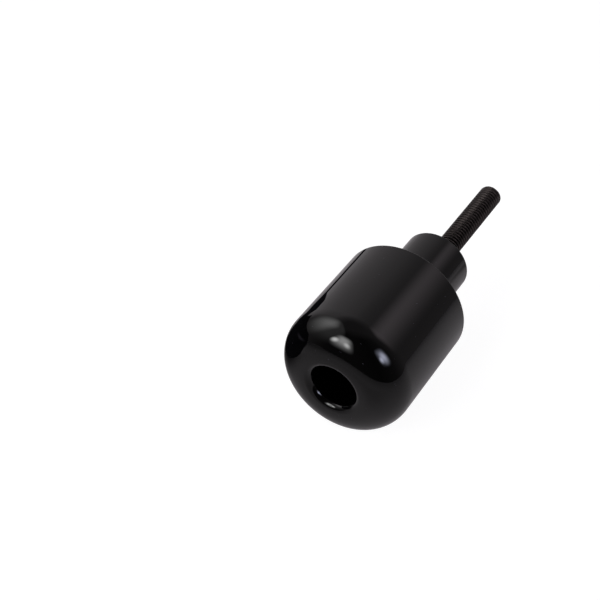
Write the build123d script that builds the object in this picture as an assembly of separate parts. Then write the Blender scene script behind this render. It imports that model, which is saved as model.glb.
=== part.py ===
"""Bar end weight for a motorcycle handlebar, with the cap screw that fixes it.

The weight is turned from steel bar in one piece: a cylinder with a large round
nose, and a slimmer collar behind it.  A socket head cap screw drops into a recess
in the nose, passes right through and stands out of the collar, where it screws
into the handlebar.  All sizes are in millimetres.

Frame: the common axis is Y, the nose points to -Y and the screw's tip to +Y, and
Z is up.  The origin is the centre of the collar's end face, which seats on the bar.
"""

import os
from math import radians, tan

from build123d import *

# Cap screw, metric coarse thread
THREAD_DIAMETER = 6.0
THREAD_PITCH = 1.0
SCREW_LENGTH = 65.0  # under the head to the tip
HEAD_DIAMETER = 10.0
HEAD_HEIGHT = 6.0
HEAD_EDGE_RADIUS = 0.6  # round on the rim of the head's top
HEAD_FILLET_RADIUS = 0.25  # round in the corner under the head
SOCKET_WIDTH = 5.0  # across the flats of the key
SOCKET_DEPTH = 3.0
SOCKET_POINT_ANGLE = 120.0  # drill point left at the bottom of the socket

# Weight
BODY_DIAMETER = 32.0
BODY_LENGTH = 34.0  # nose to shoulder
NOSE_RADIUS = 8.0  # large round from the front face to the cylinder
COLLAR_DIAMETER = 17.0
COLLAR_LENGTH = 17.0  # shoulder to seat
COLLAR_ROOT_RADIUS = 0.4  # left by the turning tool where collar meets shoulder
SHOULDER_EDGE_RADIUS = 0.4  # broken rim of the body
SEAT_EDGE_RADIUS = 0.2  # broken rim of the collar
RECESS_DEPTH = 18.0  # nose to the floor that the screw's head seats on
RECESS_LIP_RADIUS = 1.75  # rolled edge of the recess on the front face
HOLE_MOUTH_CHAMFER = 0.4  # where the screw leaves the seat

# Clearances, on the radius
HEAD_CLEARANCE = 0.5  # head in its recess
HOLE_CLEARANCE = 0.3  # thread in the through hole

# Places along the axis
SEAT_Y = 0.0
SHOULDER_Y = SEAT_Y - COLLAR_LENGTH
NOSE_Y = SHOULDER_Y - BODY_LENGTH
RECESS_FLOOR_Y = NOSE_Y + RECESS_DEPTH
HEAD_TOP_Y = RECESS_FLOOR_Y - HEAD_HEIGHT
TIP_Y = RECESS_FLOOR_Y + SCREW_LENGTH

# Thread form: the depth to the root and the plain shank that the thread is rolled on
THREAD_DEPTH = 0.6134 * THREAD_PITCH
SHANK_DIAMETER = THREAD_DIAMETER - 0.6495 * THREAD_PITCH


def corner(section, radius, y):
    """The corner of a half section that lies nearest to a radius and a place on the axis."""
    return section.vertices().sort_by_distance((radius, y))[0]


def make_weight():
    """One turned solid: body, nose, collar, and the stepped hole right through them."""
    body_radius = BODY_DIAMETER / 2
    collar_radius = COLLAR_DIAMETER / 2
    hole_radius = THREAD_DIAMETER / 2 + HOLE_CLEARANCE
    recess_radius = HEAD_DIAMETER / 2 + HEAD_CLEARANCE
    # the lip keeps to the front face that the nose and the recess leave between them
    front_face_width = body_radius - NOSE_RADIUS - recess_radius
    lip_radius = min(RECESS_LIP_RADIUS, 0.95 * front_face_width)

    with BuildPart() as weight:
        with BuildSketch() as section:
            with BuildLine():
                Polyline(
                    (recess_radius, NOSE_Y),
                    (body_radius, NOSE_Y),
                    (body_radius, SHOULDER_Y),
                    (collar_radius, SHOULDER_Y),
                    (collar_radius, SEAT_Y),
                    (hole_radius, SEAT_Y),
                    (hole_radius, RECESS_FLOOR_Y),
                    (recess_radius, RECESS_FLOOR_Y),
                    close=True,
                )
            make_face()
            fillet(corner(section, body_radius, NOSE_Y), NOSE_RADIUS)
            fillet(corner(section, recess_radius, NOSE_Y), lip_radius)
            fillet(corner(section, body_radius, SHOULDER_Y), SHOULDER_EDGE_RADIUS)
            fillet(corner(section, collar_radius, SHOULDER_Y), COLLAR_ROOT_RADIUS)
            fillet(corner(section, collar_radius, SEAT_Y), SEAT_EDGE_RADIUS)
            chamfer(corner(section, hole_radius, SEAT_Y), HOLE_MOUTH_CHAMFER)
        revolve(axis=Axis.Y)
    return weight.part


def make_cap_screw():
    """Head on the recess floor, plain shank inside the weight, full thread from the seat to the tip."""
    thread_radius = THREAD_DIAMETER / 2
    shank_radius = SHANK_DIAMETER / 2
    head_radius = HEAD_DIAMETER / 2
    thread_runout = thread_radius - shank_radius

    with BuildPart() as screw:
        with BuildSketch() as section:
            with BuildLine():
                Polyline(
                    (0, HEAD_TOP_Y),
                    (head_radius, HEAD_TOP_Y),
                    (head_radius, RECESS_FLOOR_Y),
                    (shank_radius, RECESS_FLOOR_Y),
                    (shank_radius, SEAT_Y - thread_runout),
                    (thread_radius, SEAT_Y),
                    (thread_radius, TIP_Y),
                    (0, TIP_Y),
                    close=True,
                )
            make_face()
            fillet(corner(section, head_radius, HEAD_TOP_Y), HEAD_EDGE_RADIUS)
            fillet(corner(section, shank_radius, RECESS_FLOOR_Y), HEAD_FILLET_RADIUS)
            chamfer(corner(section, thread_radius, TIP_Y), THREAD_DEPTH)
        revolve(axis=Axis.Y)

        head_top = Plane(origin=(0, HEAD_TOP_Y, 0), x_dir=(1, 0, 0), z_dir=(0, -1, 0))
        with BuildSketch(head_top):
            RegularPolygon(SOCKET_WIDTH / 2, 6, major_radius=False)
        extrude(amount=-SOCKET_DEPTH, mode=Mode.SUBTRACT)

        point_radius = SOCKET_WIDTH / 2
        point_depth = point_radius / tan(radians(SOCKET_POINT_ANGLE / 2))
        from_the_floor = (Align.CENTER, Align.CENTER, Align.MIN)
        with Locations(head_top.offset(-SOCKET_DEPTH).rotated((180, 0, 0))):
            Cone(point_radius, 0, point_depth, align=from_the_floor, mode=Mode.SUBTRACT)
    return screw.part


os.makedirs("parts", exist_ok=True)
export_step(make_weight(), "parts/weight.step")
export_step(make_cap_screw(), "parts/cap_screw.step")
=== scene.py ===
from math import atan2, cos, pi, radians, sin, tan

import bpy
from mathutils import Matrix, Vector


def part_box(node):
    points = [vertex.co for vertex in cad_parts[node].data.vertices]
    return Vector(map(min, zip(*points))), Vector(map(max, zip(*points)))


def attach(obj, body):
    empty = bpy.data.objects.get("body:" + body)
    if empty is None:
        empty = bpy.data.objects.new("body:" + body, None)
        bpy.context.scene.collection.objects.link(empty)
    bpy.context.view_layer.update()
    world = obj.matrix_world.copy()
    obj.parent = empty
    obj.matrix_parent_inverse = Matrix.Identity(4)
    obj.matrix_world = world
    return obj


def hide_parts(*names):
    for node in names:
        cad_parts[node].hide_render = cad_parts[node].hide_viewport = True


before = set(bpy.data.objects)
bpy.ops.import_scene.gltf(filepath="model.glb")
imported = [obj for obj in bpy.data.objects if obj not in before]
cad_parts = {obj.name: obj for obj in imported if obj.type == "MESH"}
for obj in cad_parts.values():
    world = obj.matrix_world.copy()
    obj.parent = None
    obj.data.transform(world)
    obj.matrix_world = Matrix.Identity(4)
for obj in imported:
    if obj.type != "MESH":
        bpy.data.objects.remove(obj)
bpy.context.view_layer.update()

# Weight
# Steel bar turned in one piece: a cylinder with a large round nose, a slim collar behind it and a
# stepped hole through both. Broken edges and rounds are left soft by the paint that covers them.
weight_low, weight_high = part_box("weight")
NOSE = weight_low.y
SEAT = weight_high.y
BODY_RADIUS = weight_high.x
NOSE_RADIUS = 0.008
BODY_LENGTH = 0.034
SHOULDER = NOSE + BODY_LENGTH
COLLAR_RADIUS = 0.0085
COLLAR_ROOT_RADIUS = 0.0004
SHOULDER_EDGE_RADIUS = 0.0004
SEAT_EDGE_RADIUS = 0.0002
RECESS_RADIUS = 0.0055
RECESS_DEPTH = 0.018
RECESS_FLOOR = NOSE + RECESS_DEPTH
LIP_RADIUS = 0.00175
HOLE_RADIUS = 0.0033
HOLE_CHAMFER = 0.0004
TURNING_STEPS = 256

GUARD = 0.0001  # short stretch that keeps a straight run flat beside a round
ROUND_STEPS = 24
MERGE = 0.000002  # points nearer than this become one


def start_point(name, place):
    """Begins an object with one vertex, left in edit mode and selected, to be extruded."""
    bpy.ops.object.select_all(action="DESELECT")
    bpy.ops.mesh.primitive_plane_add(size=GUARD)
    piece = bpy.context.object
    piece.name = name
    bpy.ops.object.mode_set(mode="EDIT")
    bpy.ops.mesh.merge(type="CENTER")
    bpy.ops.transform.translate(value=place)
    return piece


def turned(name, start, path, steps):
    """Traces a half section by runs to (radius, y) and rounds about (radius, y, degrees), and spins it."""
    piece = start_point(name, (*start, 0))
    pen = Vector(start)
    for radius, y, *degrees in path:
        place = Vector((radius, y))
        if degrees:
            angle = radians(degrees[0])
            bpy.ops.mesh.spin(steps=ROUND_STEPS, angle=-angle, center=(radius, y, 0), axis=(0, 0, 1))
            pen = place + Matrix.Rotation(angle, 2) @ (pen - place)
            continue
        run = place - pen
        guard = run.normalized() * min(GUARD, run.length / 3)
        for stretch in (guard, run - 2 * guard, guard):
            bpy.ops.mesh.extrude_region_move(TRANSFORM_OT_translate={"value": (*stretch, 0)})
        pen = place
    bpy.ops.mesh.select_all(action="SELECT")
    bpy.ops.mesh.spin(steps=steps, angle=2 * pi, center=(0, 0, 0), axis=(0, 1, 0))
    bpy.ops.mesh.select_all(action="SELECT")
    bpy.ops.mesh.remove_doubles(threshold=MERGE)
    bpy.ops.mesh.normals_make_consistent(inside=False)
    bpy.ops.object.mode_set(mode="OBJECT")
    return piece


weight = turned(
    "bar_end_body",
    (HOLE_RADIUS, RECESS_FLOOR),
    [
        (RECESS_RADIUS, RECESS_FLOOR),
        (RECESS_RADIUS, NOSE + LIP_RADIUS),
        (RECESS_RADIUS + LIP_RADIUS, NOSE + LIP_RADIUS, 90),
        (BODY_RADIUS - NOSE_RADIUS, NOSE),
        (BODY_RADIUS - NOSE_RADIUS, NOSE + NOSE_RADIUS, 90),
        (BODY_RADIUS, SHOULDER - SHOULDER_EDGE_RADIUS),
        (BODY_RADIUS - SHOULDER_EDGE_RADIUS, SHOULDER - SHOULDER_EDGE_RADIUS, 90),
        (COLLAR_RADIUS + COLLAR_ROOT_RADIUS, SHOULDER),
        (COLLAR_RADIUS + COLLAR_ROOT_RADIUS, SHOULDER + COLLAR_ROOT_RADIUS, -90),
        (COLLAR_RADIUS, SEAT - SEAT_EDGE_RADIUS),
        (COLLAR_RADIUS - SEAT_EDGE_RADIUS, SEAT - SEAT_EDGE_RADIUS, 90),
        (HOLE_RADIUS + HOLE_CHAMFER, SEAT),
        (HOLE_RADIUS, SEAT - HOLE_CHAMFER),
        (HOLE_RADIUS, RECESS_FLOOR),
    ],
    TURNING_STEPS,
)
SHARP_EDGE = radians(30)
bpy.ops.object.shade_smooth_by_angle(angle=SHARP_EDGE)

PAINT_BLACK = "#020202"
DUST_GREY = "#3a383f"
PAINT_IOR = 1.5
PAINT_ROUGHNESS = 0.02
HAZE_ROUGHNESS = 0.04
HAZE_SIZE = 0.009  # soft patches where the gloss is a little duller
HAZE_DETAIL = 3.0
HAZE_EDGES = (0.35, 0.75)  # values of the noise where the paint is clear and where it is dull
PEEL_SIZE = 0.0012  # waviness of sprayed paint
PEEL_DETAIL = 1.0
PEEL_HEIGHT = 0.0000012
DUST_SPACING = 0.0017
DUST_RADIUS = 0.0001  # drawn about one pixel wide, coarser than real dust
DUST_SHARE = 0.6  # of the places that a speck could lie


def hex_colour(text):
    """A linear colour with alpha from an sRGB hex value."""
    channels = [int(text[i:i + 2], 16) / 255 for i in (1, 3, 5)]
    linear = [c / 12.92 if c <= 0.04045 else ((c + 0.055) / 1.055) ** 2.4 for c in channels]
    return (*linear, 1.0)


def add_node(tree, kind, inputs, **settings):
    """Adds a node with its settings, each input a value or the output that feeds it."""
    node = tree.nodes.new(kind)
    for name, value in settings.items():
        setattr(node, name, value)
    for name, value in inputs.items():
        if isinstance(value, bpy.types.NodeSocket):
            tree.links.new(value, node.inputs[name])
        else:
            node.inputs[name].default_value = value
    return node


# Gloss black paint, sprayed and stoved: a deep black that shows little but clear reflections, with
# the faint waviness of a sprayed coat and a few specks of dust.
paint = bpy.data.materials.new("gloss_black_paint")
paint.use_nodes = True
tree = paint.node_tree
surface = tree.nodes["Principled BSDF"]
place = add_node(tree, "ShaderNodeTexCoord", {}).outputs["Object"]
haze = add_node(
    tree,
    "ShaderNodeTexNoise",
    {"Vector": place, "Scale": 1 / HAZE_SIZE, "Detail": HAZE_DETAIL},
)
gloss = add_node(
    tree,
    "ShaderNodeMapRange",
    {"Value": haze.outputs["Fac"], "From Min": HAZE_EDGES[0], "From Max": HAZE_EDGES[1],
     "To Min": PAINT_ROUGHNESS, "To Max": HAZE_ROUGHNESS},
)
peel = add_node(
    tree,
    "ShaderNodeTexNoise",
    {"Vector": place, "Scale": 1 / PEEL_SIZE, "Detail": PEEL_DETAIL},
)
relief = add_node(
    tree,
    "ShaderNodeBump",
    {"Height": peel.outputs["Fac"], "Distance": PEEL_HEIGHT, "Strength": 1.0},
)
dust = add_node(tree, "ShaderNodeTexVoronoi", {"Vector": place, "Scale": 1 / DUST_SPACING})
speck = add_node(
    tree,
    "ShaderNodeMath",
    {0: dust.outputs["Distance"], 1: DUST_RADIUS / DUST_SPACING},
    operation="LESS_THAN",
)
pick = add_node(tree, "ShaderNodeSeparateColor", {"Color": dust.outputs["Color"]})
chosen = add_node(
    tree,
    "ShaderNodeMath",
    {0: pick.outputs["Red"], 1: DUST_SHARE},
    operation="LESS_THAN",
)
dusty = add_node(
    tree,
    "ShaderNodeMath",
    {0: speck.outputs["Value"], 1: chosen.outputs["Value"]},
    operation="MULTIPLY",
)
colour = add_node(
    tree,
    "ShaderNodeMix",
    {"Factor": dusty.outputs["Value"], "A": hex_colour(PAINT_BLACK), "B": hex_colour(DUST_GREY)},
    data_type="RGBA",
)
tree.links.new(colour.outputs["Result"], surface.inputs["Base Color"])
tree.links.new(gloss.outputs["Result"], surface.inputs["Roughness"])
tree.links.new(relief.outputs["Normal"], surface.inputs["Normal"])
surface.inputs["IOR"].default_value = PAINT_IOR
weight.data.materials.append(paint)
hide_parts("weight")
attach(weight, "root")

# Cap screw
# Alloy steel, cold headed, with a rolled metric coarse thread and a hex socket, blackened in hot
# salts. Its head seats on the floor of the recess, and the thread stands out of the collar.
screw_low, screw_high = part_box("cap_screw")
HEAD_TOP = screw_low.y
TIP = screw_high.y
HEAD_RADIUS = screw_high.x
HEAD_EDGE_RADIUS = 0.0006
HEAD_FILLET_RADIUS = 0.00025
SOCKET_WIDTH = 0.005
SOCKET_DEPTH = 0.003
SOCKET_POINT_RADIUS = 0.0024  # of the pilot drill
SOCKET_POINT_ANGLE = radians(60)  # between the drill's axis and its cutting edge
SOCKET_POINT_DEPTH = SOCKET_POINT_RADIUS / tan(SOCKET_POINT_ANGLE)
SOCKET_POINT_SIDES = 48
THREAD_RADIUS = 0.00296  # a rolled thread is made a little under its nominal 3 mm
PITCH = 0.001
FLANK_ANGLE = radians(30)  # between a flank and the plane across the axis
THREAD_DEPTH = 0.5413 * PITCH  # five eighths of the metric form's sharp V
SHANK_RADIUS = THREAD_RADIUS - 0.6495 * PITCH / 2  # that of the thread's pitch diameter
KNURL_DEPTH = 0.00018
KNURL_MARGIN = 0.0008  # plain stretch at each end of the head's side
SCREW_STEPS = 96

screw = turned(
    "cap_screw_threaded",
    (0, HEAD_TOP),
    [
        (HEAD_RADIUS - HEAD_EDGE_RADIUS, HEAD_TOP),
        (HEAD_RADIUS - HEAD_EDGE_RADIUS, HEAD_TOP + HEAD_EDGE_RADIUS, 90),
        (HEAD_RADIUS, HEAD_TOP + KNURL_MARGIN),
        (HEAD_RADIUS, RECESS_FLOOR - KNURL_MARGIN),
        (HEAD_RADIUS, RECESS_FLOOR),
        (SHANK_RADIUS + HEAD_FILLET_RADIUS, RECESS_FLOOR),
        (SHANK_RADIUS + HEAD_FILLET_RADIUS, RECESS_FLOOR + HEAD_FILLET_RADIUS, -90),
        (SHANK_RADIUS, SEAT - THREAD_RADIUS + SHANK_RADIUS),
        (THREAD_RADIUS, SEAT),
        (THREAD_RADIUS, TIP - THREAD_DEPTH),
        (THREAD_RADIUS - THREAD_DEPTH, TIP),
        (0, TIP),
    ],
    SCREW_STEPS,
)


def cut(piece, cutter):
    """Takes the cutter's shape out of the piece, and removes the cutter."""
    bpy.ops.object.select_all(action="DESELECT")
    bpy.context.view_layer.objects.active = piece
    piece.select_set(True)
    modifier = piece.modifiers.new("cut", "BOOLEAN")
    modifier.operation = "DIFFERENCE"
    modifier.solver = "EXACT"
    modifier.object = cutter
    bpy.ops.object.modifier_apply(modifier=modifier.name)
    bpy.data.objects.remove(cutter)
    bpy.ops.object.mode_set(mode="EDIT")
    bpy.ops.mesh.select_all(action="SELECT")
    bpy.ops.mesh.remove_doubles(threshold=MERGE)
    bpy.ops.mesh.dissolve_degenerate(threshold=MERGE)
    bpy.ops.object.mode_set(mode="OBJECT")


def select_where(piece, test):
    """In edit mode, selects the vertices whose place passes the test, and no others."""
    bpy.ops.mesh.select_mode(type="VERT")
    bpy.ops.mesh.select_all(action="DESELECT")
    bpy.ops.object.mode_set(mode="OBJECT")
    for vertex in piece.data.vertices:
        vertex.select = test(vertex.co)
    bpy.ops.object.mode_set(mode="EDIT")


def in_knurl(at):
    """Whether a point is on every second line along the head's side, between its plain rims."""
    line = round(atan2(at.z, at.x) / (2 * pi / SCREW_STEPS))
    from_rims = min(at.y - HEAD_TOP, RECESS_FLOOR - at.y)
    return line % 2 == 1 and from_rims > KNURL_MARGIN + GUARD / 2 and at.xz.length > HEAD_RADIUS - MERGE


# The head has a straight knurl, rolled into its side so that it can be turned by hand.
bpy.ops.object.mode_set(mode="EDIT")
select_where(screw, in_knurl)
KNURL_SCALE = 1 - KNURL_DEPTH / HEAD_RADIUS
bpy.ops.transform.resize(value=(KNURL_SCALE, 1, KNURL_SCALE), center_override=(0, 0, 0))
bpy.ops.object.mode_set(mode="OBJECT")

# The hex socket is punched by a six-sided tool, and its floor keeps the point of the pilot drill.
TOOL_TILT = -pi / 2  # turns a tool's own Z axis to the screw's Y axis
HALF_SIDE = pi / 6  # half the angle that one side of the hexagon takes up
bpy.ops.object.select_all(action="DESELECT")
bpy.ops.mesh.primitive_cylinder_add(
    vertices=6,
    radius=SOCKET_WIDTH / 2 / cos(HALF_SIDE),
    depth=2 * SOCKET_DEPTH,
    location=(0, HEAD_TOP, 0),
    rotation=(TOOL_TILT, HALF_SIDE, 0),
)
cut(screw, bpy.context.object)
bpy.ops.object.select_all(action="DESELECT")
bpy.ops.mesh.primitive_cone_add(
    vertices=SOCKET_POINT_SIDES,
    radius1=SOCKET_POINT_RADIUS,
    radius2=0,
    depth=SOCKET_POINT_DEPTH,
    location=(0, HEAD_TOP + SOCKET_DEPTH + SOCKET_POINT_DEPTH / 2, 0),
    rotation=(TOOL_TILT, 0, 0),
)
cut(screw, bpy.context.object)

# The thread is one V groove with a narrow flat root, wound right-handed from the seat to past the tip.
CREST_FLAT = PITCH / 4  # a rolled crest is rounded, so it shows wider than a cut one
GROOVE_PROUD = 0.00008  # how far the tool stands out of the crest
groove_bottom = THREAD_RADIUS - THREAD_DEPTH
groove_top = THREAD_RADIUS + GROOVE_PROUD
top_width = PITCH - CREST_FLAT + 2 * GROOVE_PROUD * tan(FLANK_ANGLE)
root_width = PITCH - CREST_FLAT - 2 * THREAD_DEPTH * tan(FLANK_ANGLE)
THREAD_START = SEAT - 0.0002  # just inside the hole's mouth
GROOVE_TURNS = round((TIP - THREAD_START) / PITCH) + 1
bpy.ops.object.select_all(action="DESELECT")
bpy.ops.mesh.primitive_plane_add(size=1)
groove = bpy.context.object
bpy.ops.object.mode_set(mode="EDIT")
bpy.ops.transform.resize(value=(groove_top - groove_bottom, top_width, 1))
bpy.ops.transform.translate(value=((groove_top + groove_bottom) / 2, THREAD_START, 0))
select_where(groove, lambda at: at.x < THREAD_RADIUS - THREAD_DEPTH / 2)
bpy.ops.transform.resize(value=(1, root_width / top_width, 1))
bpy.ops.mesh.select_all(action="SELECT")
HALF_STEP = pi / SCREW_STEPS  # keeps the groove's edges between those of the turned screw
bpy.ops.transform.rotate(value=HALF_STEP, orient_axis="Y", center_override=(0, 0, 0))
bpy.ops.mesh.delete(type="ONLY_FACE")
bpy.ops.object.mode_set(mode="OBJECT")
winding = groove.modifiers.new("winding", "SCREW")
winding.axis = "Y"
winding.angle = 2 * pi
winding.screw_offset = PITCH
winding.iterations = GROOVE_TURNS
winding.steps = SCREW_STEPS
winding.render_steps = SCREW_STEPS
bpy.ops.object.modifier_apply(modifier=winding.name)
WORN_START = TIP - 0.004  # from here to the tip the groove grows shallower
WORN_LIFT = 0.6 * THREAD_DEPTH
for vertex in groove.data.vertices:
    share = (vertex.co.y - WORN_START) / (TIP - WORN_START)
    lift = WORN_LIFT * min(max(share, 0), 1)
    reach = vertex.co.xz.length
    vertex.co.xz *= (reach + lift) / reach
bpy.ops.object.mode_set(mode="EDIT")
bpy.ops.mesh.select_all(action="SELECT")
bpy.ops.mesh.fill_holes(sides=4)
bpy.ops.mesh.normals_make_consistent(inside=False)
bpy.ops.object.mode_set(mode="OBJECT")
cut(screw, groove)
bpy.ops.object.shade_smooth_by_angle(angle=SHARP_EDGE)

# Painted shade: the groove colour stands in for the shade in the thread's hollows, and the crest colour is
# the burnished steel.
GROOVE_SHADE_BLACK = "#0a090a"
CREST_BLACK = "#48413f"
GROOVE_ROUGHNESS = 0.45
CREST_ROUGHNESS = 0.15
GROOVE_METAL = 1.0
CREST_METAL = 0.7
# Below this reach the flanks go over to the grooves' painted shade.
CREST_REACH = 0.4 * PITCH  # how far down its flanks the crest is burnished
OXIDE_GRAIN = 0.0009
MOTTLE_DETAIL = 3.0
MOTTLE_SHARE = 0.08

# Black oxide on steel, from a hot salt bath and then oiled: a brownish satin black with a soft mottle.
# The crests are lighter where burnished, and the grooves are painted near black as painted shade in the
# thread's hollows.
oxide = bpy.data.materials.new("black_oxide_steel")
oxide.use_nodes = True
tree = oxide.node_tree
surface = tree.nodes["Principled BSDF"]
place = add_node(tree, "ShaderNodeTexCoord", {}).outputs["Object"]
from_axis = add_node(tree, "ShaderNodeVectorMath", {0: place, 1: (1, 0, 1)}, operation="MULTIPLY")
radius = add_node(tree, "ShaderNodeVectorMath", {0: from_axis.outputs["Vector"]}, operation="LENGTH")
rise = add_node(
    tree,
    "ShaderNodeMapRange",
    {"Value": radius.outputs["Value"], "From Min": THREAD_RADIUS - CREST_REACH, "From Max": THREAD_RADIUS,
     "To Min": 0.0, "To Max": 1.0},
)
mottle = add_node(
    tree,
    "ShaderNodeTexNoise",
    {"Vector": place, "Scale": 1 / OXIDE_GRAIN, "Detail": MOTTLE_DETAIL},
)
# Painted shade: this mask runs from the dark grooves to the lighter burnished crests, with a little mottle
# mixed in.
burnish_and_groove_shade = add_node(
    tree,
    "ShaderNodeMix",
    {"Factor": MOTTLE_SHARE, "A": rise.outputs["Result"], "B": mottle.outputs["Fac"]},
    data_type="FLOAT",
)
colour = add_node(
    tree,
    "ShaderNodeMix",
    {"Factor": burnish_and_groove_shade.outputs["Result"], "A": hex_colour(GROOVE_SHADE_BLACK), "B": hex_colour(CREST_BLACK)},
    data_type="RGBA",
)
gloss = add_node(
    tree,
    "ShaderNodeMapRange",
    {"Value": burnish_and_groove_shade.outputs["Result"], "To Min": GROOVE_ROUGHNESS, "To Max": CREST_ROUGHNESS},
)
metal = add_node(
    tree,
    "ShaderNodeMapRange",
    {"Value": burnish_and_groove_shade.outputs["Result"], "To Min": GROOVE_METAL, "To Max": CREST_METAL},
)
tree.links.new(colour.outputs["Result"], surface.inputs["Base Color"])
tree.links.new(gloss.outputs["Result"], surface.inputs["Roughness"])
tree.links.new(metal.outputs["Result"], surface.inputs["Metallic"])
screw.data.materials.append(oxide)
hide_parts("cap_screw")
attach(screw, "root")

# Floor and surroundings
# A pale table under the part, a dim room round it with a lighter wall behind, and white for the
# camera wherever it looks past the part. A black card beside the part keeps its left flank dark.
TABLE_COLOUR = "#7b7a7a"
TABLE_ROUGHNESS = 0.8
CAMERA_WHITE = 0.93  # added for the camera, so that the table is white and its shadow only faint
ROOM_TINT = "#fff8fc"  # the table and the walls are very slightly pink where the paint mirrors them
WHITE = (1, 1, 1, 1)
BLACK = (0, 0, 0, 1)
GLOSS_LIGHT = 0.4  # added in reflections, fading to the front of the table and to its right side
GLOSS_FRONT = (-0.2, 0.03)  # places along the part where there is none of it and where there is all
GLOSS_RIGHT = 0.03  # from here to the right it falls by half over each GLOSS_HALVING
GLOSS_HALVING = 0.097
GLOSS_HALVINGS = 4

# The table is cut off at its front right, and runs out far to its front left.
TABLE_OUTLINE = (
    (0.33, 0.6),
    (0.2, -0.07),
    (0.11, -0.165),
    (-0.06, -0.188),
    (-0.6, -0.83),
    (-0.6, 0.6),
)

# Soft ovals where the table is darker in reflections: below the card, in front of the nose, and
# beside the body and the screw. Each has its middle, how fast it falls off each way, from where to
# where, and its darkest share.
SHADES = (
    ((-0.046, -0.049), (1, 0.8), (0.009, 0.032), 0.1),
    ((0.004, -0.077), (0.45, 1), (0.004, 0.022), 0.8),
    ((0.01, -0.018), (1, 0.6), (0.002, 0.014), 0.65),
    ((0.009, 0.032), (1.4, 0.6), (0.004, 0.016), 0.3),
    ((0.034, 0.05), (0.6, 0.8), (0.006, 0.022), 0.4),
)

table = start_point("table", (*TABLE_OUTLINE[0], weight_low.z))
for start, end in zip(TABLE_OUTLINE, TABLE_OUTLINE[1:]):
    side = (end[0] - start[0], end[1] - start[1], 0)
    bpy.ops.mesh.extrude_region_move(TRANSFORM_OT_translate={"value": side})
bpy.ops.mesh.select_all(action="SELECT")
bpy.ops.mesh.edge_face_add()
bpy.ops.object.mode_set(mode="OBJECT")

# Matt white table top. It gives light of its own, nearly white for the camera and less in reflections.
paper = bpy.data.materials.new("table_top")
paper.use_nodes = True
tree = paper.node_tree
surface = tree.nodes["Principled BSDF"]
surface.inputs["Roughness"].default_value = TABLE_ROUGHNESS
surface.inputs["Specular IOR Level"].default_value = 0.0
place = add_node(tree, "ShaderNodeTexCoord", {}).outputs["Object"]
along = add_node(tree, "ShaderNodeSeparateXYZ", {"Vector": place})
fade_front = add_node(
    tree,
    "ShaderNodeMapRange",
    {"Value": along.outputs["Y"], "From Min": GLOSS_FRONT[0], "From Max": GLOSS_FRONT[1],
     "To Min": 0.0, "To Max": GLOSS_LIGHT},
)
halvings = add_node(
    tree,
    "ShaderNodeMapRange",
    {"Value": along.outputs["X"], "From Min": GLOSS_RIGHT,
     "From Max": GLOSS_RIGHT + GLOSS_HALVINGS * GLOSS_HALVING, "To Min": 0.0, "To Max": GLOSS_HALVINGS},
)
fade_right = add_node(tree, "ShaderNodeMath", {0: 0.5, 1: halvings.outputs["Result"]}, operation="POWER")
fade = add_node(
    tree,
    "ShaderNodeMath",
    {0: fade_front.outputs["Result"], 1: fade_right.outputs["Value"]},
    operation="MULTIPLY",
)
shade = 1.0
for middle, across, reach, darkest in SHADES:
    oval = add_node(tree, "ShaderNodeVectorMath", {0: place, 1: (*across, 0)}, operation="MULTIPLY")
    from_middle = add_node(
        tree,
        "ShaderNodeVectorMath",
        {0: oval.outputs["Vector"], 1: Vector((*middle, 0)) * Vector((*across, 0))},
        operation="DISTANCE",
    )
    share = add_node(
        tree,
        "ShaderNodeMapRange",
        {"Value": from_middle.outputs["Value"], "From Min": reach[0], "From Max": reach[1],
         "To Min": darkest, "To Max": 1.0},
        interpolation_type="SMOOTHSTEP",
    )
    shade = add_node(
        tree,
        "ShaderNodeMath",
        {0: shade, 1: share.outputs["Result"]},
        operation="MULTIPLY",
    ).outputs["Value"]
lit = add_node(tree, "ShaderNodeMath", {0: fade.outputs["Value"], 1: shade}, operation="MULTIPLY")
seen = add_node(tree, "ShaderNodeLightPath", {})
mirrored = add_node(
    tree,
    "ShaderNodeMath",
    {0: seen.outputs["Is Glossy Ray"], 1: seen.outputs["Is Transmission Ray"]},
    operation="MAXIMUM",
)
gleam = add_node(
    tree,
    "ShaderNodeMath",
    {0: mirrored.outputs["Value"], 1: lit.outputs["Value"]},
    operation="MULTIPLY",
)
white = add_node(
    tree,
    "ShaderNodeMix",
    {"Factor": seen.outputs["Is Camera Ray"], "A": gleam.outputs["Value"], "B": CAMERA_WHITE},
    data_type="FLOAT",
)
cast = add_node(
    tree,
    "ShaderNodeMix",
    {"Factor": seen.outputs["Is Camera Ray"], "A": hex_colour(ROOM_TINT), "B": WHITE},
    data_type="RGBA",
)
shaded = add_node(
    tree,
    "ShaderNodeMix",
    {"Factor": shade, "A": BLACK, "B": hex_colour(TABLE_COLOUR)},
    data_type="RGBA",
)
colour = add_node(
    tree,
    "ShaderNodeMix",
    {"Factor": mirrored.outputs["Value"], "A": hex_colour(TABLE_COLOUR), "B": shaded.outputs["Result"]},
    data_type="RGBA",
)
tree.links.new(colour.outputs["Result"], surface.inputs["Base Color"])
tree.links.new(white.outputs["Result"], surface.inputs["Emission Strength"])
tree.links.new(cast.outputs["Result"], surface.inputs["Emission Color"])
table.data.materials.append(paper)

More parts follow.
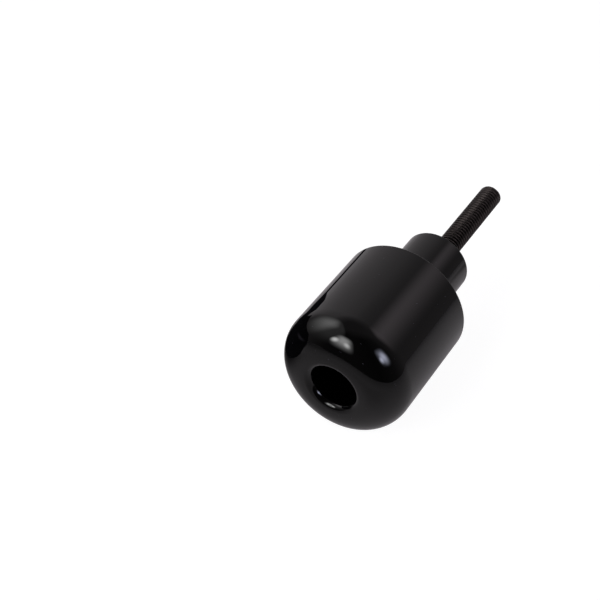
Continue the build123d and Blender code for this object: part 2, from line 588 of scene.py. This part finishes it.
# The flag is a black card just over the table, with a slim tail. Its outline is given from front to
# back, by the place along the part's axis and the lower and upper edge there.
FLAG_PLACE = -0.034
FLAG_OUTLINE = (
    (-0.072, -0.011, 0.004),
    (-0.068, -0.0138, 0.011),
    (-0.061, -0.0138, 0.0165),
    (-0.0328, -0.0138, 0.0165),
    (-0.0323, -0.0014, 0.011),
    (-0.0182, -0.0014, 0.011),
    (-0.0148, 0.0003, 0.0047),
    (0.008, 0.0003, 0.0047),
)
front, low, high = FLAG_OUTLINE[0]
flag = start_point("black_flag", (FLAG_PLACE, front, low))
bpy.ops.mesh.extrude_region_move(TRANSFORM_OT_translate={"value": (0, 0, high - low)})
bpy.ops.mesh.select_all(action="SELECT")
for (start, low, high), (back, next_low, next_high) in zip(FLAG_OUTLINE, FLAG_OUTLINE[1:]):
    next_middle = (next_low + next_high) / 2
    step = (0, back - start, next_middle - (low + high) / 2)
    bpy.ops.mesh.extrude_region_move(TRANSFORM_OT_translate={"value": step})
    bpy.ops.transform.resize(
        value=(1, 1, (next_high - next_low) / (high - low)),
        center_override=(FLAG_PLACE, back, next_middle),
    )
bpy.ops.object.mode_set(mode="OBJECT")

FELT_BLACK = "#3c3b3e"
STREAK_TINT = "#f0e6ff"  # a faint streak of light along the card
STREAK_MIDDLE = Vector((FLAG_PLACE, -0.0575, 0.007))
STREAK_HALF_LENGTH = 0.0115
STREAK_HALF_HEIGHT = 0.002
STREAK_SPREAD = Vector((0, 1 / STREAK_HALF_LENGTH, 1 / STREAK_HALF_HEIGHT))
STREAK_LIGHT = 0.15

# Black felt that covers the card, a dull charcoal, with a faint streak of light that it gives off, a
# painted reflection of a lamp.
felt = bpy.data.materials.new("black_felt")
felt.use_nodes = True
tree = felt.node_tree
surface = tree.nodes["Principled BSDF"]
surface.inputs["Base Color"].default_value = hex_colour(FELT_BLACK)
surface.inputs["Specular IOR Level"].default_value = 0.0
surface.inputs["Emission Color"].default_value = hex_colour(STREAK_TINT)
place = add_node(tree, "ShaderNodeTexCoord", {}).outputs["Object"]
spread = add_node(tree, "ShaderNodeVectorMath", {0: place, 1: STREAK_SPREAD}, operation="MULTIPLY")
from_streak = add_node(
    tree,
    "ShaderNodeVectorMath",
    {0: spread.outputs["Vector"], 1: STREAK_MIDDLE * STREAK_SPREAD},
    operation="DISTANCE",
)
streak = add_node(
    tree,
    "ShaderNodeMapRange",
    {"Value": from_streak.outputs["Value"], "From Min": 1.0, "From Max": 0.0,
     "To Min": 0.0, "To Max": STREAK_LIGHT},
    interpolation_type="SMOOTHSTEP",
)
tree.links.new(streak.outputs["Result"], surface.inputs["Emission Strength"])
flag.data.materials.append(felt)
flag.visible_camera = False
flag.visible_diffuse = False
flag.visible_shadow = False

# How bright the walls are by azimuth in degrees, from the front round by the left, the back and the right.
WALLS = (
    (-180, 0.04),
    (-150, 0.04),
    (-120, 0.13),
    (-75, 0.15),
    (-62, 0.48),
    (-40, 0.48),
    (-20, 0.4),
    (0, 0.28),
    (30, 0.18),
    (60, 0.14),
    (90, 0.06),
    (135, 0.02),
    (180, 0.04),
)
CEILING = 0.12
CEILING_DIRECTION = (-0.12, 0.16, 0.98)
CEILING_EDGE = (0.84, 0.98)  # how directly a view has to point that way, from the walls to the ceiling
world = bpy.data.worlds.new("room")
bpy.context.scene.world = world
world.use_nodes = True
tree = world.node_tree
room = tree.nodes["Background"]
direction = add_node(tree, "ShaderNodeTexCoord", {}).outputs["Generated"]
parts = add_node(tree, "ShaderNodeSeparateXYZ", {"Vector": direction})
azimuth = add_node(
    tree,
    "ShaderNodeMath",
    {0: parts.outputs["X"], 1: parts.outputs["Y"]},
    operation="ARCTAN2",
)
round_room = add_node(
    tree,
    "ShaderNodeMapRange",
    {"Value": azimuth.outputs["Value"], "From Min": -pi, "From Max": pi, "To Min": 0.0, "To Max": 1.0},
)
walls = add_node(tree, "ShaderNodeValToRGB", {"Fac": round_room.outputs["Result"]})
stops = walls.color_ramp.elements
for degrees, _ in WALLS[1:-1]:
    stops.new((degrees + 180) / 360)
tint = Vector(hex_colour(ROOM_TINT)[:3])
for stop, (_, bright) in zip(stops, WALLS):
    stop.color = (*(bright * tint), 1)
facing = add_node(
    tree,
    "ShaderNodeVectorMath",
    {0: direction, 1: CEILING_DIRECTION},
    operation="DOT_PRODUCT",
)
overhead = add_node(
    tree,
    "ShaderNodeMapRange",
    {"Value": facing.outputs["Value"], "From Min": CEILING_EDGE[0], "From Max": CEILING_EDGE[1],
     "To Min": 0.0, "To Max": 1.0},
)
light = add_node(
    tree,
    "ShaderNodeMix",
    {"Factor": overhead.outputs["Result"], "A": walls.outputs["Color"], "B": (*(CEILING * tint), 1)},
    data_type="RGBA",
)
seen = add_node(tree, "ShaderNodeLightPath", {})
shown = add_node(
    tree,
    "ShaderNodeMix",
    {"Factor": seen.outputs["Is Camera Ray"], "A": light.outputs["Result"], "B": WHITE},
    data_type="RGBA",
)
tree.links.new(shown.outputs["Result"], room.inputs["Color"])
room.inputs["Strength"].default_value = 1.0

# Softboxes
# Upright panels that stand round the nose, unseen by the camera. They fade to their edges, and in two
# of them the lamps show through the cloth. The reflector is a larger and dimmer panel.
NOSE_CENTRE = Vector((0, NOSE, 0))
SOFTBOX_DISTANCE = 0.9
CORNER_POWER = 3  # 2 would make the glow an ellipse, and more than 3 nearly a rectangle


def add_softbox(name, azimuth, height, half_width, half_height, core, bright, tint, lamps=()):
    """Stands a panel at an azimuth clockwise from behind the part, its middle at a height over the nose.

    Sizes are in metres.  The core is the share of the panel that is evenly bright, and paper white has a
    brightness of 1.  Each lamp has its place across and up and the reach of its glow, all as shares of the
    half size, and its strength.
    """
    turn = radians(azimuth)
    towards = Vector((sin(turn), cos(turn), 0))
    panel = bpy.data.lights.new(name, "AREA")
    panel.shape = "RECTANGLE"
    panel.size = 2 * half_width
    panel.size_y = 2 * half_height
    panel.energy = pi * panel.size * panel.size_y
    panel.color = hex_colour(tint)[:3]
    panel.use_nodes = True
    tree = panel.node_tree
    place = add_node(tree, "ShaderNodeTexCoord", {}).outputs["Object"]
    across = add_node(
        tree,
        "ShaderNodeVectorMath",
        {0: place, 1: (1 / half_width, 1 / half_height, 0)},
        operation="MULTIPLY",
    )
    aside = add_node(tree, "ShaderNodeVectorMath", {0: across.outputs["Vector"]}, operation="ABSOLUTE")
    powers = add_node(
        tree,
        "ShaderNodeVectorMath",
        {0: aside.outputs["Vector"], 1: (CORNER_POWER, CORNER_POWER, CORNER_POWER)},
        operation="POWER",
    )
    total = add_node(
        tree,
        "ShaderNodeVectorMath",
        {0: powers.outputs["Vector"], 1: (1, 1, 0)},
        operation="DOT_PRODUCT",
    )
    out = add_node(
        tree,
        "ShaderNodeMath",
        {0: total.outputs["Value"], 1: 1 / CORNER_POWER},
        operation="POWER",
    )
    glow = add_node(
        tree,
        "ShaderNodeMapRange",
        {"Value": out.outputs["Value"], "From Min": 1.0, "From Max": core, "To Min": 0.0, "To Max": bright},
        interpolation_type="SMOOTHSTEP",
    )
    strength = glow.outputs["Result"]
    for right, up, reach, gain in lamps:
        apart = add_node(
            tree,
            "ShaderNodeVectorMath",
            {0: across.outputs["Vector"], 1: (right, up, 0)},
            operation="DISTANCE",
        )
        lamp = add_node(
            tree,
            "ShaderNodeMapRange",
            {"Value": apart.outputs["Value"], "From Min": reach, "From Max": 0.0,
             "To Min": 0.0, "To Max": gain},
            interpolation_type="SMOOTHSTEP",
        )
        strength = add_node(
            tree,
            "ShaderNodeMath",
            {0: strength, 1: lamp.outputs["Result"]},
            operation="ADD",
        ).outputs["Value"]
    tree.links.new(strength, tree.nodes["Emission"].inputs["Strength"])
    box = bpy.data.objects.new(name, panel)
    box.location = NOSE_CENTRE + towards * SOFTBOX_DISTANCE + Vector((0, 0, height))
    box.rotation_euler = towards.to_track_quat("Z", "Y").to_euler()
    box.visible_camera = False
    bpy.context.collection.objects.link(box)


add_softbox(
    "softbox_right",
    azimuth=103,
    height=0.67,
    half_width=0.36,
    half_height=0.42,
    core=0.0,
    bright=3.4,
    tint="#e2e6ff",
    lamps=[(0.1, -0.2, 0.75, 6.0), (-0.42, -0.35, 0.4, 6.8)],
)
add_softbox(
    "softbox_front",
    azimuth=194.5,
    height=0.82,
    half_width=0.37,
    half_height=0.64,
    core=0.08,
    bright=5.2,
    tint="#ffffff",
    lamps=[(0.35, -0.28, 0.37, 5.6), (-0.63, -0.28, 0.4, 9.2)],
)
add_softbox(
    "softbox_left",
    azimuth=265,
    height=1.07,
    half_width=0.55,
    half_height=1.01,
    core=0.0,
    bright=1.75,
    tint="#ffffff",
)
add_softbox(
    "softbox_back",
    azimuth=37.5,
    height=0.92,
    half_width=0.48,
    half_height=0.73,
    core=0.06,
    bright=0.63,
    tint="#fff2f9",
)
add_softbox(
    "reflector_left",
    azimuth=248,
    height=1.46,
    half_width=1.1,
    half_height=1.38,
    core=0.5,
    bright=0.3,
    tint="#ffffff",
)

# Camera
# It stands in front, to the right and above, and is tipped very slightly.
CAMERA_PLACE = Vector((0.09346, -0.20604, 0.18879))
CAMERA_AIM = Vector((-0.40668, 0.62424, -0.66704))
CAMERA_ROLL = radians(-1.766)
LENS_MM = 70.581
SENSOR_MM = 36
CLIP_START = 0.01
camera_data = bpy.data.cameras.new("camera")
camera_data.lens = LENS_MM
camera_data.sensor_width = SENSOR_MM
camera_data.clip_start = CLIP_START
camera = bpy.data.objects.new("camera", camera_data)
camera.location = CAMERA_PLACE
aim = CAMERA_AIM.to_track_quat("-Z", "Y").to_matrix()
roll = Matrix.Rotation(CAMERA_ROLL, 3, "Z")
camera.rotation_euler = (aim @ roll).to_euler()
bpy.context.collection.objects.link(camera)
bpy.context.scene.camera = camera
bpy.context.scene.view_settings.view_transform = "Standard"
